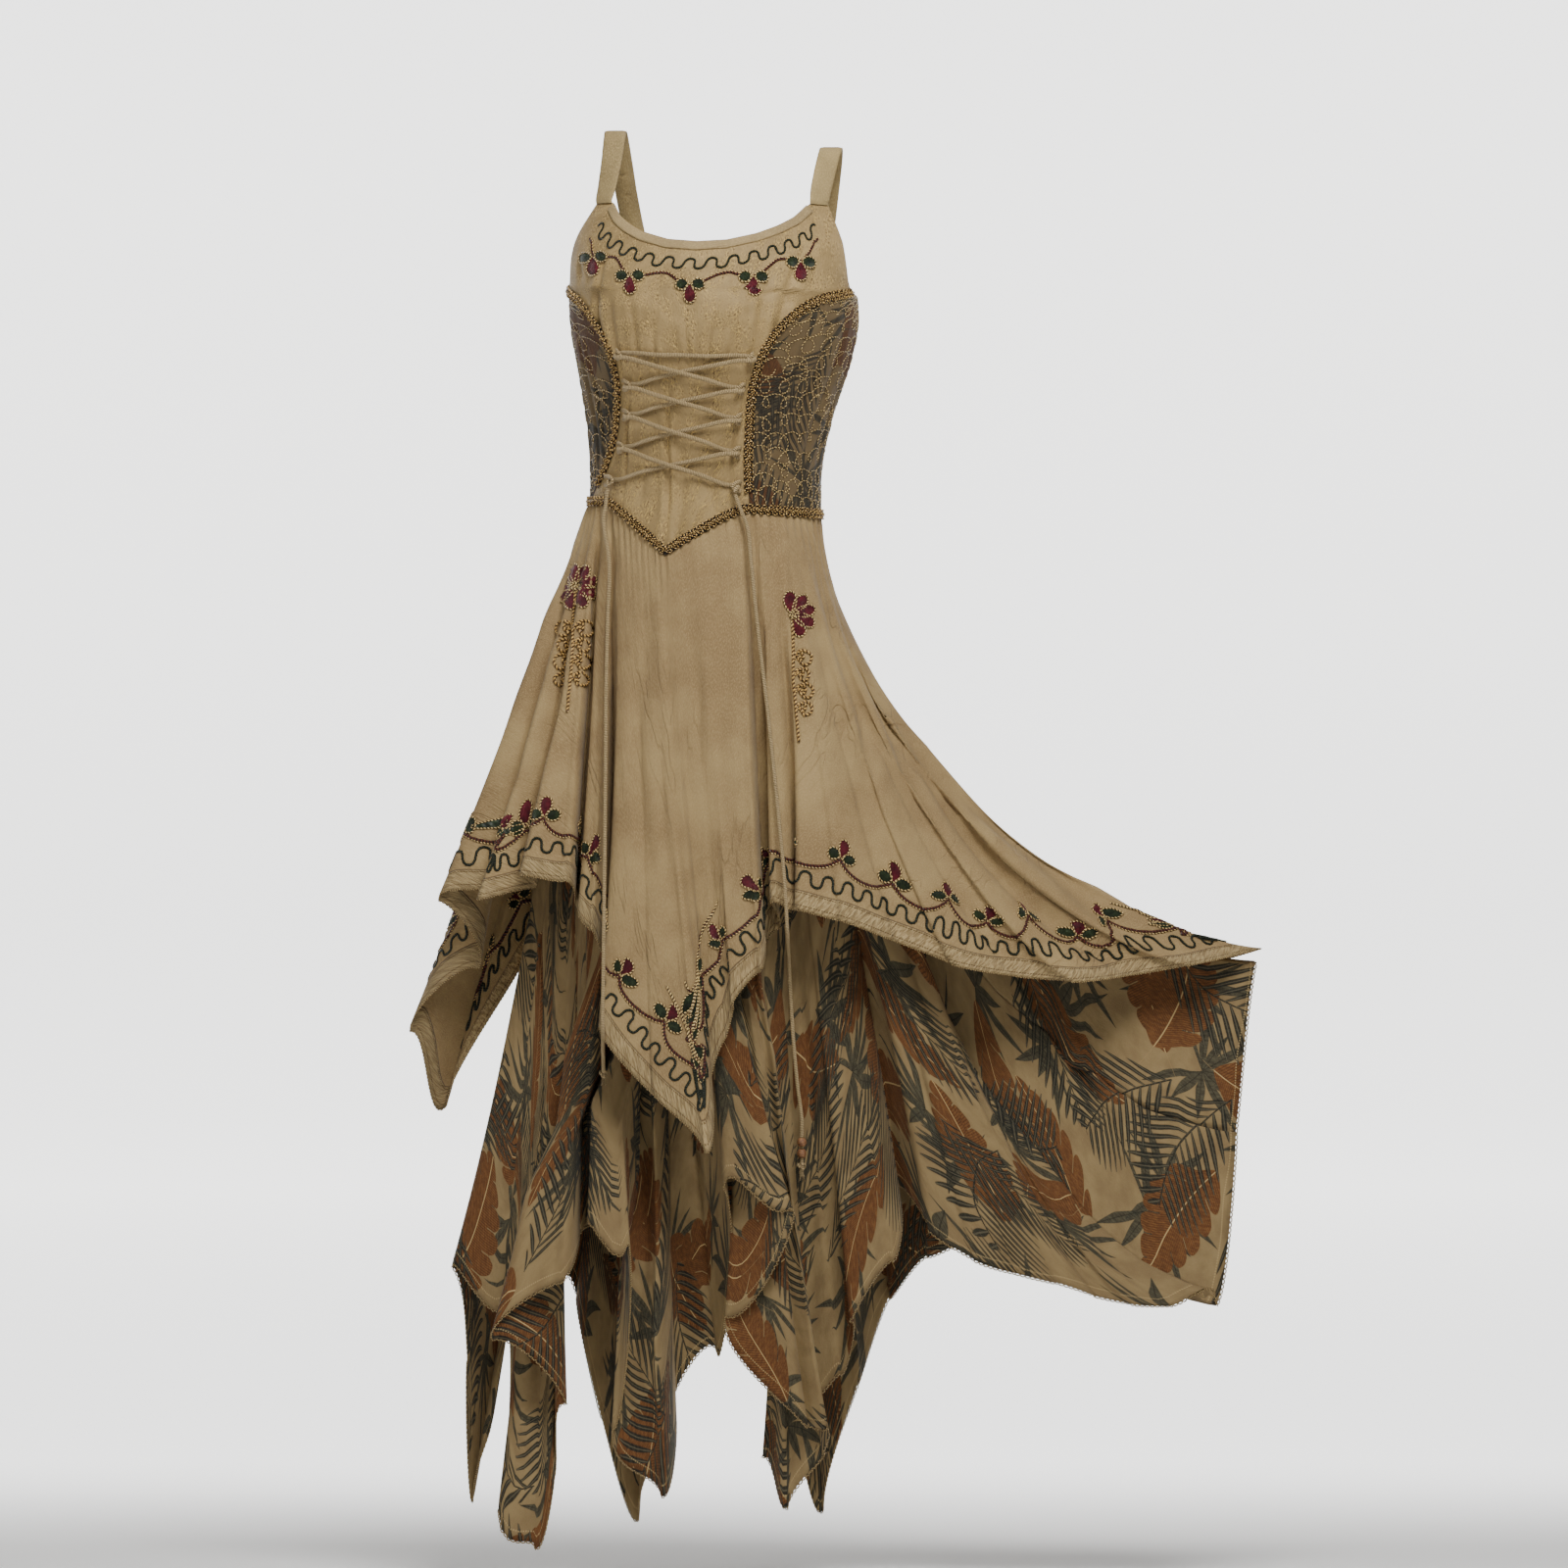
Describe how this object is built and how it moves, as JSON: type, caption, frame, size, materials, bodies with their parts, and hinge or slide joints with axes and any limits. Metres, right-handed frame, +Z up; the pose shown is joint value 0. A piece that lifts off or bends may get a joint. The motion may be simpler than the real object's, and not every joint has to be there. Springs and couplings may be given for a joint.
{
  "type": "lace-up midi dress",
  "caption": "Sleeveless corset-front midi dress with a crossed lace, an embroidered handkerchief overskirt and a longer printed handkerchief underskirt.",
  "frame": {"origin": "on the wearer's shoulders, half way between the tops of the two straps to within 10 mm, since the dress hangs turned", "axes": "+X to the viewer's right, +Y away from the viewer towards the back of the dress, +Z up"},
  "size_m": [0.8237, 0.2841, 1.3708],
  "materials": {
    "brocade": "satin",
    "printed_panel": "matt",
    "back_cloth": "matt",
    "strap_cloth": "matt",
    "binding_cloth": "matt",
    "gimp_braid": "matt",
    "lace_cord": "matt",
    "bead_wood": "satin",
    "overskirt_cloth": "satin",
    "underskirt_print": "matt"
  },
  "bodies": {
    "root": {"front_bodice": "brocade", "side_panel_left": "printed_panel", "side_panel_right": "printed_panel", "back_bodice": "back_cloth", "strap_left": "strap_cloth", "strap_right": "strap_cloth", "neck_binding": "binding_cloth", "braid_left": "gimp_braid", "braid_right": "gimp_braid", "braid_waist": "gimp_braid", "lacing": "lace_cord", "lace_end_left": "lace_cord", "lace_end_right": "lace_cord", "bead_1": "bead_wood", "bead_2": "bead_wood", "overskirt_front": "overskirt_cloth", "overskirt_back": "overskirt_cloth", "underskirt_front": "underskirt_print", "underskirt_back": "underskirt_print", "lace_loop_left_1": "lace_cord", "lace_loop_left_2": "lace_cord", "lace_loop_left_3": "lace_cord", "lace_loop_left_4": "lace_cord", "lace_loop_left_5": "lace_cord", "lace_loop_right_1": "lace_cord", "lace_loop_right_2": "lace_cord", "lace_loop_right_3": "lace_cord", "lace_loop_right_4": "lace_cord", "lace_loop_right_5": "lace_cord"}
  },
  "joints": []
}
